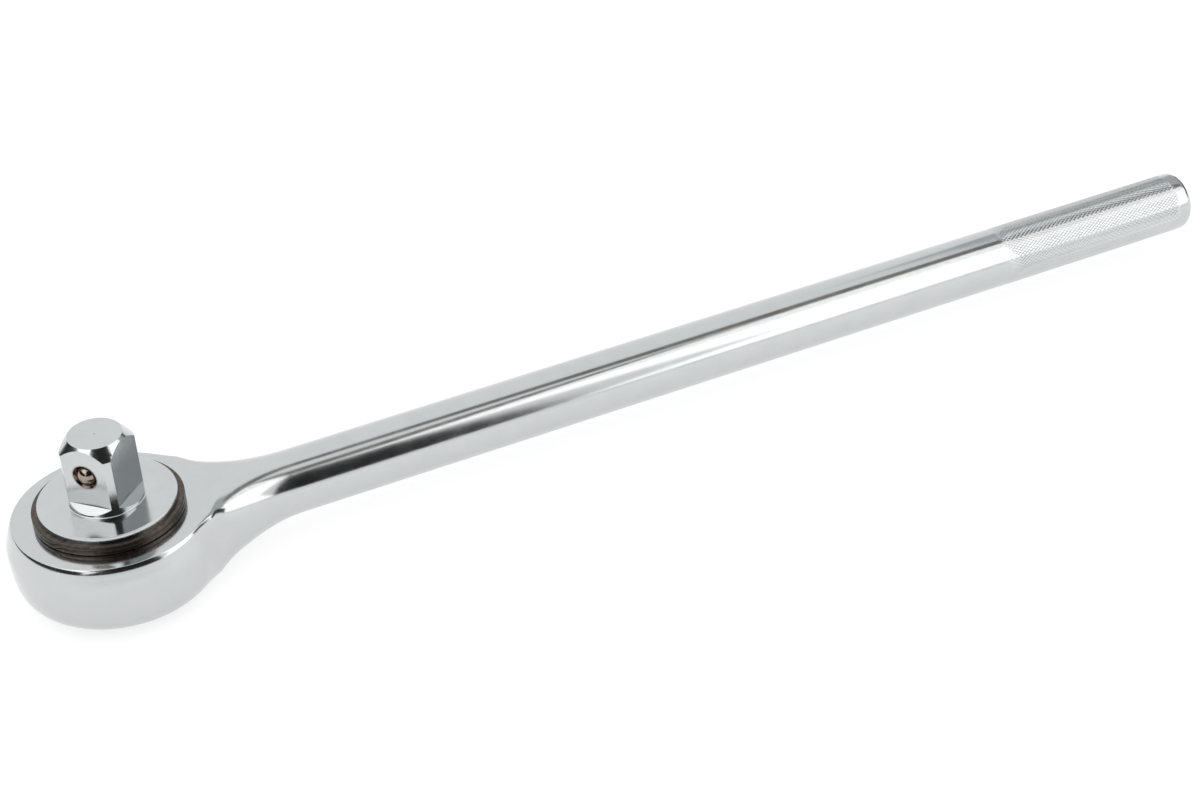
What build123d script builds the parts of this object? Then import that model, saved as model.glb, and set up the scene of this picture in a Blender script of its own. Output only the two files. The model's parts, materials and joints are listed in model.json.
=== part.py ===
from build123d import *
from math import atan2, cos, degrees, hypot, radians, sin, tan
import os

# Reversible ratchet handle with a 3/4 inch square drive, in millimetres.
# The origin is where the drive axis meets the face that a socket rests on.
# +Z points out along the drive square, and +X along the handle.

# ---------------------------------------------------------------- driving dimensions
square_width = 19.05            # 3/4 inch across the flats
square_corner_radius = 12.28    # the square's corners are turned to this radius
square_height = 24.8
square_end_radius = 8.9         # flat end of the square, inside its cone
square_end_slope = 50.0         # the end cone, in degrees down from the flat
foot_flare_height = 2.75        # where the square's flats start to slope out at their foot
foot_flare_angle = 34.0         # of that slope
foot_radius = 12.75             # the small fillet round the square's foot
foot_height = 0.4
disc_radius = 23.0              # the disc that a socket rests on
disc_edge = 0.7
disc_thickness = 1.95
ring_groove_radius = 22.0
journal_radius = 24.0
drum_radius = 25.5
driver_turn = -136.66           # turn of the spindle's own +X, its ball side, from the handle

head_top = -5.5                 # the head's top face
head_back = -31.0
head_rim_radius = 32.06         # the crisp edge of the top face
head_brow = [(32.70, -6.22), (33.12, -7.10)]    # the quick turn under that edge
head_bulge_radius = 34.9
head_bulge_height = -14.2
handle_height = -17.09          # the handle's axis
handle_radius = 11.14
handle_end = 431.0
handle_start = 62.0             # where the neck has become round

bore_clearance = 0.05           # radial clearance of every running fit
tooth_count = 24
tooth_tip_radius = 26.0
tooth_root_radius = 28.0
tooth_space_half_width = 1.25   # half the width of a tooth space at its root
tooth_flank_angle = 38.0        # from the radial line
tooth_relief_radius = 28.3
back_opening_radius = 28.4
shoulder_height = -10.5         # the body's inner shoulder, over the drum
gear_top = -12.0
gear_bottom = -24.5

pocket_floor = -13.5
pawl_top = -13.8
pawl_bottom = -24.2
pawl_nose_angle = 30.0          # from the spindle's own +X
pawl_pivot_radius = 18.94
pawl_pivot_angle = 66.6
pawl_heel_radius = 8.5          # distance of the heel's centre from the drive axis
pawl_heel_angle = 106.6
pawl_eye = 4.0                  # radius of the pawl round its pin
pawl_heel = 2.0
pawl_swing = 14.0
pawl_body_radius = 25.6         # the nose between its two teeth
pawl_tooth_radius = 27.6
pin_radius = 2.0

cam_base_radius = 6.2
cam_lobe_radius = 9.35
cam_pocket_radius = 10.2
lever_swing = 50.0
lever_rest_angle = 205.0        # the lever's arm, from the spindle's own +X

plate_radius = 28.0
plate_back = -27.0
lever_face = -34.8

plane = Plane.XY.rotated((0, 0, driver_turn))
os.makedirs("parts", exist_ok=True)


def level(height):
    """The spindle's own plane at a height."""
    return plane.offset(height)


def polar(radius, angle):
    return (radius * cos(radians(angle)), radius * sin(radians(angle)))


def beside(radius, angle, shift):
    """A point at a radius along a ray, and shifted square to the ray."""
    x, y = polar(radius, angle)
    return (x - shift * sin(radians(angle)), y + shift * cos(radians(angle)))


def space_half_width(radius):
    slope = tan(radians(tooth_flank_angle))
    return tooth_space_half_width + (tooth_root_radius - radius) * slope


def turned(point, pivot, angle):
    """A point turned about a pivot, counter-clockwise in degrees."""
    dx, dy = point[0] - pivot[0], point[1] - pivot[1]
    c, s = cos(radians(angle)), sin(radians(angle))
    return (pivot[0] + c * dx - s * dy, pivot[1] + s * dx + c * dy)


def coil_spring(start, direction, length, radius, wire, turns):
    """A compression spring of round wire, from a start point along a direction."""
    with BuildPart() as spring:
        with BuildLine():
            coil = Helix(
                pitch=length / turns, height=length, radius=radius, center=start,
                direction=direction,
            )
        with BuildSketch(Plane(coil @ 0, z_dir=coil % 0)):
            Circle(wire / 2)
        sweep(path=coil)
    return spring


def finish(piece, name):
    piece.part.label = name
    export_step(piece.part, "parts/" + name + ".step")


# ---------------------------------------------------------------- body forging
bulge_end = (34.2, -24.5)
back_corner = (29.4, head_back)

with BuildPart() as ratchet_body:
    # the head, a turned shape with bulging sides and a rounded back edge
    with BuildSketch(Plane.XZ):
        with BuildLine():
            l1 = Line((0, head_top), (head_rim_radius, head_top))
            l2 = ThreePointArc(l1 @ 1, *head_brow)
            l3 = Spline(
                l2 @ 1, (head_bulge_radius, head_bulge_height), bulge_end,
                tangents=((0.306, -1), (-0.14, -1)),
            )
            l4 = Spline(l3 @ 1, (32.8, -28.6), back_corner, tangents=((-0.14, -1), (-1, -0.12)))
            Polyline(l4 @ 1, (0, head_back), (0, head_top))
        make_face()
    revolve(axis=Axis.Z)

    # the neck, from a tall flat-sided section beside the head to the round shank
    # x, half width, top, bottom, corner radius
    neck_sections = [
        (17.0, 24.6, head_top, head_back, 2.6),
        (25.0, 22.6, head_top, head_back, 2.8),
        (28.0, 20.15, head_top, head_back, 3.8),
        (30.0, 18.73, head_top, head_back, 5.0),
        (33.0, 16.89, head_top, head_back, 7.0),
        (36.0, 15.35, head_top, head_back + 0.1, 8.4),
        (40.0, 13.71, head_top, head_back + 0.5, 9.4),
        (44.0, 12.51, head_top - 0.05, head_back + 1.0, 10.2),
        (49.0, 11.56, head_top - 0.25, head_back + 1.8, 10.8),
        (55.0, 11.15, head_top - 0.4, head_back + 2.55, 10.95),
        (handle_start, handle_radius, handle_height + handle_radius,
         handle_height - handle_radius, handle_radius - 0.06),
    ]
    for x, half_width, top, bottom, corner in neck_sections:
        with BuildSketch(Plane.YZ.offset(x)):
            with Locations((0, (top + bottom) / 2)):
                RectangleRounded(2 * half_width, top - bottom, corner)
    loft()

    # the head and neck share one flat top and one flat back
    for start in (head_top, head_back - 1):
        with BuildSketch(Plane.XY.offset(start)):
            Rectangle(3 * handle_start, 3 * handle_start)
        extrude(amount=1, mode=Mode.SUBTRACT)

    # the round shank and grip
    with BuildSketch(Plane.YZ.offset(handle_start)):
        with Locations((0, handle_height)):
            Circle(handle_radius)
    extrude(amount=handle_end - handle_start)
    fillet(ratchet_body.faces().sort_by(Axis.X)[-1].edges(), radius=3.2)

    # the bore for the journal, the relief over the teeth and the open back
    for radius, start, end in [
        (journal_radius + bore_clearance, shoulder_height - 1, head_top + 1),
        (tooth_relief_radius, gear_top, shoulder_height),
        (back_opening_radius, head_back - 1, gear_bottom),
        (tooth_tip_radius, gear_bottom, gear_top),
    ]:
        with BuildSketch(Plane.XY.offset(start)):
            Circle(radius)
        extrude(amount=end - start, mode=Mode.SUBTRACT)

    # the spaces between the ratchet teeth
    inner = tooth_tip_radius - 1
    with BuildSketch(level(gear_bottom)):
        with PolarLocations(0, tooth_count, start_angle=180 / tooth_count):
            Polygon(
                (inner, -space_half_width(inner)), (tooth_root_radius, -tooth_space_half_width),
                (tooth_root_radius, tooth_space_half_width), (inner, space_half_width(inner)),
                align=None,
            )
    extrude(amount=gear_top - gear_bottom, mode=Mode.SUBTRACT)
    # a small chamfer round the bore's mouth
    chamfer(
        ratchet_body.edges().filter_by(GeomType.CIRCLE).group_by(Axis.Z)[-1].sort_by(
            SortBy.RADIUS)[0],
        length=0.25,
    )
finish(ratchet_body, "ratchet_body")

# ---------------------------------------------------------------- pawls
pivot = polar(pawl_pivot_radius, pawl_pivot_angle)
heel = polar(pawl_heel_radius, pawl_heel_angle)
heel_away = turned(heel, pivot, -pawl_swing)
tooth_pitch = 360 / tooth_count
tooth_angles = [pawl_nose_angle - tooth_pitch / 2, pawl_nose_angle + tooth_pitch / 2]
tooth_gap = 0.12                # between a pawl's tooth and the flank that it slides down
tooth_backlash = 0.85           # before the loaded flanks meet


def pawl_outline():
    """The tightening pawl in the teeth's grip, in the spindle's own plane, without its eye."""
    nose = [
        polar(pawl_body_radius, pawl_nose_angle - 12), polar(pawl_body_radius, pawl_nose_angle),
        polar(pawl_body_radius, pawl_nose_angle + 12),
    ]
    arm = hypot(nose[1][0] - pivot[0], nose[1][1] - pivot[1])
    across = ((nose[1][1] - pivot[1]) / arm * pawl_eye, -(nose[1][0] - pivot[0]) / arm * pawl_eye)
    with BuildSketch() as outline:
        with Locations(pivot):
            Circle(pawl_eye)
        with Locations(heel):
            Circle(pawl_heel)
        make_hull()
        with BuildLine():
            ThreePointArc(nose[0], nose[1], nose[2])
            Polyline(
                nose[2], polar(24.6, pawl_nose_angle + 14),
                (pivot[0] - across[0], pivot[1] - across[1]),
                (pivot[0] + across[0], pivot[1] + across[1]),
                polar(21.8, pawl_nose_angle - 10.5), nose[0],
            )
        make_face()
        for angle in tooth_angles:
            rows = []
            for radius in (pawl_tooth_radius, pawl_body_radius - 0.6):
                width = space_half_width(radius) - tooth_gap
                rows.append((beside(radius, angle, -width + tooth_backlash),
                             beside(radius, angle, width)))
            with BuildLine():
                Polyline(rows[0][0], rows[0][1], rows[1][1], rows[1][0], close=True)
            make_face()
    return outline.sketch


def as_loosening(sketch):
    """The loosening side is the tightening side mirrored in the spindle's own XZ plane."""
    return mirror(sketch, about=Plane.XZ, mode=Mode.PRIVATE)


pivot_axis = Axis((*pivot, 0), (0, 0, 1))
gripping = pawl_outline()
pulled_back = gripping.rotate(pivot_axis, -pawl_swing)

for name, side, outline in [("tightening_pawl", 1, gripping),
                            ("loosening_pawl", -1, as_loosening(pulled_back))]:
    with BuildPart() as pawl:
        with BuildSketch(level(pawl_bottom)):
            add(outline)
            with Locations((pivot[0], side * pivot[1])):
                Circle(pin_radius + bore_clearance, mode=Mode.SUBTRACT)
        extrude(amount=pawl_top - pawl_bottom)
    finish(pawl, name)

# ---------------------------------------------------------------- spring slots and plungers
plunger_radius = 1.9
plunger_length = 4.0
plunger_gap = 0.25
slot_half_width = 2.2
slot_floor = -16.0
slot_middle = (slot_floor + pawl_bottom) / 2
spring_wire = 0.5
push = (heel_away[0] - heel[0], heel_away[1] - heel[1])
stroke = hypot(*push)
push = (push[0] / stroke, push[1] / stroke)
push_angle = degrees(atan2(push[1], push[0]))
slot_end = 14.0                 # from the gripping heel's centre to the slot's closed end


def along_push(distance):
    """A point on the tightening slot's middle line, from the gripping heel's centre."""
    return (heel[0] + push[0] * distance, heel[1] + push[1] * distance)


def slot_plane(side, distance):
    """A plane square to the spring slot, at a distance from the gripping heel's centre."""
    x, y = along_push(distance)
    origin = plane.from_local_coords(Vector(x, side * y, slot_middle))
    tip = plane.from_local_coords(Vector(x + push[0], side * (y + push[1]), slot_middle))
    return Plane(origin=origin, x_dir=(0, 0, 1), z_dir=tip - origin)


for side, name, lift in [(1, "tightening", 0), (-1, "loosening", stroke)]:
    start = pawl_heel + plunger_gap + lift
    with BuildPart() as plunger:
        with BuildSketch(slot_plane(side, start)):
            Circle(plunger_radius)
        extrude(amount=plunger_length)
        with BuildSketch(slot_plane(side, start + plunger_length - 1.4)):
            Circle(plunger_radius - 0.45)
        extrude(amount=1.4, mode=Mode.SUBTRACT)
        heel_end = plunger.edges().filter_by(GeomType.CIRCLE).sort_by_distance(
            slot_plane(side, start).origin)[0]
        fillet(heel_end, radius=1.6)
    finish(plunger, name + "_plunger")

    coil_start = start + plunger_length - 1.4 + spring_wire / 2 + 0.02
    coil_length = slot_end - spring_wire / 2 - 0.02 - coil_start
    coil_plane = slot_plane(side, coil_start)
    pawl_spring = coil_spring(
        coil_plane.origin, coil_plane.z_dir, coil_length, 1.1, spring_wire, turns=5)
    finish(pawl_spring, name + "_pawl_spring")

# ---------------------------------------------------------------- drive spindle
pin_top = -8.5
shaft_pilot_radius = 4.0
shaft_pilot_top = -8.5
ball_height = 14.0
ball_radius = 3.57
ball_reach = 1.2                # how far the ball stands out of the square's face
ball_hole_radius = 3.62
ball_lip_radius = 3.4
ball_mouth_radius = 4.25
ball_lip_depth = 1.0
ball_hole_depth = 12.0
screw_radius = 2.0
screw_places = [(20.0, 0.0), (20.0, 150.0), (20.0, 210.0)]
screw_end = -20.0

with BuildSketch() as pawl_room:
    for swing in (0, -pawl_swing / 2, -pawl_swing):
        add(gripping.rotate(pivot_axis, swing))
    offset(amount=0.4)

half = square_width / 2
square_corner_height = square_height - tan(radians(square_end_slope)) * (
    square_corner_radius - square_end_radius)

with BuildPart() as drive_spindle:
    # the square, whose flats slope out at the foot
    with BuildSketch(level(foot_flare_height)):
        Rectangle(square_width, square_width)
    extrude(amount=square_height - foot_flare_height)
    flare = foot_flare_height / tan(radians(foot_flare_angle))
    with BuildSketch(level(foot_flare_height)):
        Rectangle(square_width, square_width)
    with BuildSketch(level(0)):
        Rectangle(square_width + 2 * flare, square_width + 2 * flare)
    loft()
    # its turned corners, and the cone at its end
    with BuildSketch(Plane.XZ):
        Polygon(
            (0, 0), (square_corner_radius, 0), (square_corner_radius, square_corner_height),
            (square_end_radius, square_height), (0, square_height), align=None,
        )
    revolve(axis=Axis.Z, mode=Mode.INTERSECT)
    # the fillet at its foot, the disc, ring groove, journal and drum
    with BuildSketch(Plane.XZ):
        Polygon(
            (0, foot_height), (square_corner_radius - 0.1, foot_height), (foot_radius - 0.3, 0.15),
            (foot_radius, 0), (disc_radius - disc_edge, 0),
            (disc_radius - 0.2, -0.2), (disc_radius, -disc_edge), (disc_radius, -disc_thickness),
            (ring_groove_radius, -disc_thickness), (ring_groove_radius, -5.45),
            (journal_radius, -5.45), (journal_radius, shoulder_height - 0.1),
            (drum_radius, shoulder_height - 0.1), (drum_radius, gear_bottom), (0, gear_bottom),
            align=None,
        )
    revolve(axis=Axis.Z)
    # the centre mark that the lathe leaves in the square's end
    with Locations(Location((0, 0, square_height))):
        CounterSinkHole(radius=0.2, counter_sink_radius=0.45, depth=0.8, counter_sink_angle=90)
    # pockets for the pawls and cam, open to the back
    with BuildSketch(level(gear_bottom)) as pockets:
        add(pawl_room.sketch)
        add(as_loosening(pawl_room.sketch))
        Circle(cam_pocket_radius)
    extrude(amount=pocket_floor - gear_bottom, mode=Mode.SUBTRACT)
    # slots for the plungers and springs
    with BuildSketch(level(gear_bottom)):
        for side in (1, -1):
            middle = along_push(slot_end / 2)
            with Locations(Location((middle[0], side * middle[1], 0), (0, 0, side * push_angle))):
                Rectangle(slot_end, 2 * slot_half_width)
    extrude(amount=slot_floor - gear_bottom, mode=Mode.SUBTRACT)
    # holes for the pawl pins, the cam's shaft and the plate's screws
    with BuildSketch(level(gear_bottom)):
        with Locations(pivot, (pivot[0], -pivot[1])):
            Circle(pin_radius + 0.02)
        Circle(shaft_pilot_radius + bore_clearance)
    extrude(amount=pin_top - gear_bottom, mode=Mode.SUBTRACT)
    with BuildSketch(level(gear_bottom)):
        with Locations(*[polar(*place) for place in screw_places]):
            Circle(screw_radius + 0.02)
    extrude(amount=screw_end + 1 - gear_bottom, mode=Mode.SUBTRACT)
    # the ball's hole, with a lip that keeps the ball in and a flared mouth
    ball_face = Plane(
        origin=plane.from_local_coords(Vector(half, 0, ball_height)),
        x_dir=(0, 0, 1), z_dir=plane.x_dir,
    )
    with BuildSketch(ball_face.offset(-ball_hole_depth)):
        Circle(ball_hole_radius)
    extrude(amount=ball_hole_depth - ball_lip_depth, mode=Mode.SUBTRACT)
    with BuildSketch(ball_face.offset(-ball_lip_depth)):
        Circle(ball_lip_radius)
    with BuildSketch(ball_face):
        Circle(ball_mouth_radius)
    loft(mode=Mode.SUBTRACT)
finish(drive_spindle, "drive_spindle")

# ---------------------------------------------------------------- detent ball and its spring
ball_centre = half + ball_reach - ball_radius
with BuildPart() as detent_ball:
    with Locations(Location(plane.from_local_coords(Vector(ball_centre, 0, ball_height)))):
        Sphere(ball_radius)
finish(detent_ball, "detent_ball")

ball_spring_wire = 0.8
ball_spring_start = half - ball_hole_depth + ball_spring_wire / 2 + 0.02
ball_spring_length = ball_centre - ball_radius - 0.05 - ball_spring_wire / 2 - ball_spring_start
detent_ball_spring = coil_spring(
    plane.from_local_coords(Vector(ball_spring_start, 0, ball_height)), plane.x_dir,
    ball_spring_length, 2.6, ball_spring_wire, turns=4)
finish(detent_ball_spring, "detent_ball_spring")

# ---------------------------------------------------------------- spiral retaining ring
ring_outer_radius = 24.9
ring_inner_radius = 22.1
ring_top = -2.0
ring_bottom = -5.3
ring_turn_gap = 0.08            # between the two turns of flat wire
crossing_angle = 9.0            # where the wire steps from one turn to the next
crossing_place = 212.0          # from the handle

with BuildPart() as retaining_ring:
    with BuildSketch(Plane.XY.offset(ring_bottom)):
        Circle(ring_outer_radius)
        Circle(ring_inner_radius, mode=Mode.SUBTRACT)
    extrude(amount=ring_top - ring_bottom)
    # the gap between the turns, all round but for the crossing
    ring_middle = (ring_top + ring_bottom) / 2
    with BuildSketch(Plane.XY.offset(ring_middle - ring_turn_gap / 2)):
        Circle(ring_outer_radius + 1)
        Circle(ring_inner_radius - 1, mode=Mode.SUBTRACT)
        with BuildLine():
            Polyline(
                (0, 0), polar(60, crossing_place - crossing_angle / 2),
                polar(60, crossing_place + crossing_angle / 2), close=True,
            )
        make_face(mode=Mode.SUBTRACT)
    extrude(amount=ring_turn_gap, mode=Mode.SUBTRACT)
    # the wire's two ends, one on each turn, at either side of the crossing
    for bottom, place in [(ring_bottom - 1, crossing_place + crossing_angle / 2),
                          (ring_middle, crossing_place - crossing_angle / 2)]:
        with BuildSketch(Plane.XY.offset(bottom)):
            with Locations(Location((*polar((ring_outer_radius + ring_inner_radius) / 2, place), 0),
                                    (0, 0, place))):
                Rectangle(6, 0.3)
        extrude(amount=ring_middle - ring_bottom + 1, mode=Mode.SUBTRACT)
finish(retaining_ring, "retaining_ring")

# ---------------------------------------------------------------- pawl pins
for side, name in [(1, "tightening_pawl_pin"), (-1, "loosening_pawl_pin")]:
    with BuildPart() as pin:
        with BuildSketch(level(plate_back + 0.2)):
            with Locations((pivot[0], side * pivot[1])):
                Circle(pin_radius)
        extrude(amount=pin_top - 0.1 - plate_back - 0.2)
        chamfer(pin.edges().filter_by(GeomType.CIRCLE), length=0.3)
    finish(pin, name)

# ---------------------------------------------------------------- selector cam and its shaft
shaft_radius = 5.0
tang_width = 6.8
tang_end = -33.0
lever_screw_radius = 1.95
lever_screw_end = -23.0
cam_bottom = pawl_bottom
cam_top = pawl_top
# The lobe holds the loosening heel out at rest, and the tightening heel at the lever's other end.
heel_far_angle = degrees(atan2(heel_away[1], heel_away[0]))
lobe_start = heel_far_angle + lever_swing
lobe_end = 360 - heel_far_angle
base_start = 360 - pawl_heel_angle + lever_swing
base_end = 360 + pawl_heel_angle


def cam_ramp(from_angle, to_angle, from_radius, to_radius, steps=6):
    """Points of a spiral whose radius grows evenly with its angle."""
    return [
        polar(from_radius + (to_radius - from_radius) * i / steps,
              from_angle + (to_angle - from_angle) * i / steps)
        for i in range(steps + 1)
    ]


with BuildPart() as selector_cam:
    with BuildSketch(level(cam_bottom)):
        with BuildLine():
            CenterArc((0, 0), cam_lobe_radius, lobe_start, lobe_end - lobe_start)
            Spline(*cam_ramp(lobe_end, base_start, cam_lobe_radius, cam_base_radius))
            CenterArc((0, 0), cam_base_radius, base_start, base_end - base_start)
            Spline(*cam_ramp(base_end, lobe_start + 360, cam_base_radius, cam_lobe_radius))
        make_face()
    extrude(amount=cam_top - cam_bottom)
    with BuildSketch(level(cam_bottom)):
        Circle(shaft_pilot_radius)
    extrude(amount=shaft_pilot_top - 0.1 - cam_bottom)
    with BuildSketch(level(plate_back)):
        Circle(shaft_radius)
    extrude(amount=cam_bottom - plate_back)
    with BuildSketch(level(tang_end).rotated((0, 0, lever_rest_angle))):
        Rectangle(tang_width, tang_width)
    extrude(amount=plate_back - tang_end)
    with BuildSketch(level(tang_end)):
        Circle(lever_screw_radius + 0.05)
    extrude(amount=lever_screw_end + 0.5 - tang_end, mode=Mode.SUBTRACT)
finish(selector_cam, "selector_cam")

# ---------------------------------------------------------------- back plate, screws and seal
dimple_radius = 15.0            # distance of the lever's click dimples from the drive axis
dimple_ball = 1.6
dimple_depth = 0.4
head_radius = 4.0
seal_radius = 0.7
seal_centre_radius = 27.5

with BuildPart() as back_plate:
    with BuildSketch(level(plate_back)):
        Circle(plate_radius)
        Circle(shaft_radius + bore_clearance, mode=Mode.SUBTRACT)
        with Locations(pivot, (pivot[0], -pivot[1])):
            Circle(pin_radius + 0.05, mode=Mode.SUBTRACT)
        with Locations(*[polar(*place) for place in screw_places]):
            Circle(screw_radius + 0.1, mode=Mode.SUBTRACT)
    extrude(amount=gear_bottom - 0.02 - plate_back)
    # the countersinks, whose cones open at the plate's back
    for place in screw_places:
        with BuildSketch(level(plate_back)):
            with Locations(polar(*place)):
                Circle(head_radius + 0.1)
        with BuildSketch(level(plate_back + head_radius - screw_radius)):
            with Locations(polar(*place)):
                Circle(screw_radius + 0.1)
        loft(mode=Mode.SUBTRACT)
    # the groove for the rubber ring
    with BuildSketch(level((plate_back + gear_bottom) / 2 - seal_radius - 0.1)):
        Circle(plate_radius + 1)
        Circle(seal_centre_radius - seal_radius - 0.05, mode=Mode.SUBTRACT)
    extrude(amount=2 * seal_radius + 0.2, mode=Mode.SUBTRACT)
    # the two dimples, which the lever's ball drops into
    dimple_places = [polar(dimple_radius, lever_rest_angle - turn) for turn in (0, lever_swing)]
    for x, y in dimple_places:
        centre = plane.from_local_coords(Vector(x, y, plate_back + dimple_depth - dimple_ball))
        with Locations(Location(centre)):
            Sphere(dimple_ball, mode=Mode.SUBTRACT)
finish(back_plate, "back_plate")

with BuildPart() as back_plate_screws:
    for place in screw_places:
        with BuildSketch(level(plate_back + 0.05)):
            with Locations(polar(*place)):
                Circle(head_radius)
        with BuildSketch(level(plate_back + 0.05 + head_radius - screw_radius)):
            with Locations(polar(*place)):
                Circle(screw_radius)
        loft()
        with BuildSketch(level(plate_back + 0.05 + head_radius - screw_radius)):
            with Locations(polar(*place)):
                Circle(screw_radius)
        extrude(amount=screw_end - plate_back - 0.05 - head_radius + screw_radius)
        with BuildSketch(level(plate_back + 0.05)):
            with Locations(polar(*place)):
                RegularPolygon(radius=1.45, side_count=6)
        extrude(amount=1.4, mode=Mode.SUBTRACT)
finish(back_plate_screws, "back_plate_screws")

with BuildPart() as dust_seal:
    with Locations(Location((0, 0, (plate_back + gear_bottom) / 2))):
        Torus(seal_centre_radius, seal_radius)
finish(dust_seal, "dust_seal")

# ---------------------------------------------------------------- reversing lever
hub_radius = 9.6
hub_start = -27.7
arm_start = -28.0
arm_face = -34.0
arm_length = 22.0
arm_tip_radius = 4.4
lever_ball_radius = 1.5
lever_plane = level(0).rotated((0, 0, lever_rest_angle))
lever_click = plate_back - 0.05 - lever_ball_radius

with BuildPart() as reversing_lever:
    # a pear-shaped arm, and a round hub that stands a little proud of it
    with BuildSketch(lever_plane.offset(arm_face)):
        Circle(hub_radius)
        with Locations((arm_length - arm_tip_radius, 0)):
            Circle(arm_tip_radius)
        make_hull()
    extrude(amount=arm_start - arm_face)
    fillet(reversing_lever.edges().group_by(Axis.Z)[0], radius=1.2)
    with BuildSketch(lever_plane.offset(lever_face)):
        Circle(hub_radius)
    extrude(amount=hub_start - lever_face)
    chamfer(reversing_lever.edges().group_by(Axis.Z)[0], length=0.5)
    # the thumb's ribs across the arm's end
    with BuildSketch(lever_plane.offset(arm_face - 0.7)):
        with Locations((13.5, 0), (16.0, 0), (18.5, 0)):
            Rectangle(1.1, 6.4)
    extrude(amount=1.0)
    # the square hole on the tang, and the countersink for the screw
    with BuildSketch(lever_plane.offset(tang_end)):
        Rectangle(tang_width + 0.1, tang_width + 0.1)
    extrude(amount=hub_start - tang_end, mode=Mode.SUBTRACT)
    with BuildSketch(lever_plane.offset(lever_face)):
        Circle(lever_screw_radius + 0.1)
    extrude(amount=tang_end - lever_face, mode=Mode.SUBTRACT)
    with BuildSketch(lever_plane.offset(lever_face)):
        Circle(3.6)
    with BuildSketch(lever_plane.offset(lever_face + 1.5)):
        Circle(2.05)
    loft(mode=Mode.SUBTRACT)
    # the blind hole for the click ball and its spring
    with BuildSketch(lever_plane.offset(tang_end)):
        with Locations((dimple_radius, 0)):
            Circle(lever_ball_radius + bore_clearance)
    extrude(amount=arm_start - tang_end, mode=Mode.SUBTRACT)
finish(reversing_lever, "reversing_lever")

with BuildPart() as lever_screw:
    with BuildSketch(level(lever_face + 0.05)):
        Circle(3.4)
    with BuildSketch(level(lever_face + 0.05 + 1.45)):
        Circle(lever_screw_radius)
    loft()
    with BuildSketch(level(lever_face + 0.05 + 1.45)):
        Circle(lever_screw_radius)
    extrude(amount=lever_screw_end - lever_face - 1.5)
    with BuildSketch(level(lever_face + 0.05)):
        Rectangle(7, 0.9)
    extrude(amount=0.9, mode=Mode.SUBTRACT)
finish(lever_screw, "lever_screw")

with BuildPart() as lever_washer:
    with BuildSketch(level(hub_start + 0.05)):
        Circle(8.4)
        Circle(5.4, mode=Mode.SUBTRACT)
    extrude(amount=0.5)
finish(lever_washer, "lever_washer")

with BuildPart() as lever_detent_ball:
    ball_place = (*polar(dimple_radius, lever_rest_angle), lever_click)
    with Locations(Location(plane.from_local_coords(Vector(*ball_place)))):
        Sphere(lever_ball_radius)
finish(lever_detent_ball, "lever_detent_ball")

click_wire = 0.4
click_bottom = tang_end + click_wire / 2 + 0.02
click_length = lever_click - lever_ball_radius - 0.02 - click_wire / 2 - click_bottom
click_place = (*polar(dimple_radius, lever_rest_angle), click_bottom)
lever_detent_spring = coil_spring(
    plane.from_local_coords(Vector(*click_place)), (0, 0, 1), click_length, 1.05, click_wire,
    turns=4)
finish(lever_detent_spring, "lever_detent_spring")
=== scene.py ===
import json
from math import atan2, cos, exp, hypot, pi, radians, sin, sqrt

import bmesh
import bpy
from mathutils import Matrix, Quaternion, Vector
from mathutils.geometry import interpolate_bezier


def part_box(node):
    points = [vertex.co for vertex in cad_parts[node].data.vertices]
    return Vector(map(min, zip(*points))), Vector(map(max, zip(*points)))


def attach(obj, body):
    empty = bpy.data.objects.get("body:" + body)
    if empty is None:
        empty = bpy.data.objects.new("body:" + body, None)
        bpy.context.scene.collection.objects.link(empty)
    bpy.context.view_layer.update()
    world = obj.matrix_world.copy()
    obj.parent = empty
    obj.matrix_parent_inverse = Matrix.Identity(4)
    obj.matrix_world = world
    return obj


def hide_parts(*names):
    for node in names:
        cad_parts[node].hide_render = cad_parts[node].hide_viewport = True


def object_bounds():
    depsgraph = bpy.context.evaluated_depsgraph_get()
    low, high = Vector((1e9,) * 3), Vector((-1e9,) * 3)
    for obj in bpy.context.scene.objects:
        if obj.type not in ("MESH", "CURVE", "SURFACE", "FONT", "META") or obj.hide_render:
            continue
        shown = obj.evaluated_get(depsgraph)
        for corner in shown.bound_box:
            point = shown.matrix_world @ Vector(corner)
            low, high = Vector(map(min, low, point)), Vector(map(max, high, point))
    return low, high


# The looks of a long reversible ratchet handle with a 3/4 inch square drive.
# The scene is in metres. The shapes are worked out in millimetres, and scaled when a piece is done.
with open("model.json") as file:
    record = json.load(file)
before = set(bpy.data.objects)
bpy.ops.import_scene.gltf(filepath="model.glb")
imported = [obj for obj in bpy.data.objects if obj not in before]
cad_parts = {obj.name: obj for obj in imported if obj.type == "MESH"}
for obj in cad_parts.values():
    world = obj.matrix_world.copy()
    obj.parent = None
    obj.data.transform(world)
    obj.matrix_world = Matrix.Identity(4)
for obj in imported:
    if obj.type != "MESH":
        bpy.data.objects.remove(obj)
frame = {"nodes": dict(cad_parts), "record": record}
cad_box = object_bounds()
MM = 0.001


def in_mm(vector):
    return vector / MM


# ---------------------------------------------------------------- sizes, in millimetres
body_low, body_high = map(in_mm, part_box("ratchet_body"))
ring_low, ring_high = map(in_mm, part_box("retaining_ring"))

HEAD_TOP = -5.5
HEAD_BACK = body_low.z
HANDLE_END = body_high.x
HANDLE_RADIUS = 11.14
HANDLE_HEIGHT = -17.09          # the handle's axis
BORE_RADIUS = 24.05
BORE_MOUTH_RADIUS = 24.3        # over the bore's small chamfer
SHOULDER_HEIGHT = -10.5
RELIEF_RADIUS = 28.3
GEAR_TOP = -12.0
GEAR_BOTTOM = -24.5
BACK_OPENING_RADIUS = 28.4
TOOTH_COUNT = 24
TOOTH_OFFSET = 5.84             # middle of the first tooth space, in degrees from the handle

SOFT_RADIUS = 33.2              # of the head circle that the neck's sides run out of
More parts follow.
